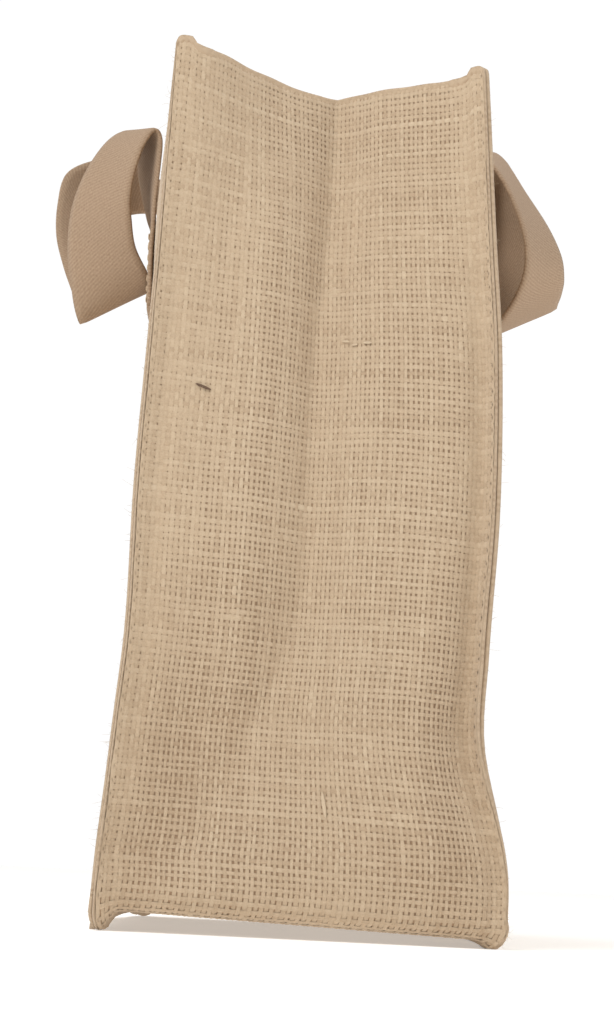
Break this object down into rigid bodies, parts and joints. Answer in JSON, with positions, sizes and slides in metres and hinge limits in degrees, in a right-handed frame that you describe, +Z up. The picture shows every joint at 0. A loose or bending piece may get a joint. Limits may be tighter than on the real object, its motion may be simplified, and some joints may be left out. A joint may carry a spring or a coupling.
{
  "type": "lunch bag",
  "caption": "Upright open-topped lunch bag of plain-weave jute with outward seam allowances, a folded-in gusset and cotton webbing carrying loops.",
  "frame": {"origin": "middle of the whole outline on the floor, handles included", "axes": "+Z up, +Y along the bag's width away from the end that the picture shows, +X across the gusset to the right in that view"},
  "size_m": [0.2093, 0.2705, 0.3211],
  "materials": {
    "jute": "open plain weave, matt",
    "webbing": "cotton twill webbing, matt"
  },
  "bodies": {
    "root": {"panel_left": "jute", "panel_right": "jute", "gusset": "jute", "handle_left": "webbing", "handle_right": "webbing"}
  },
  "joints": []
}
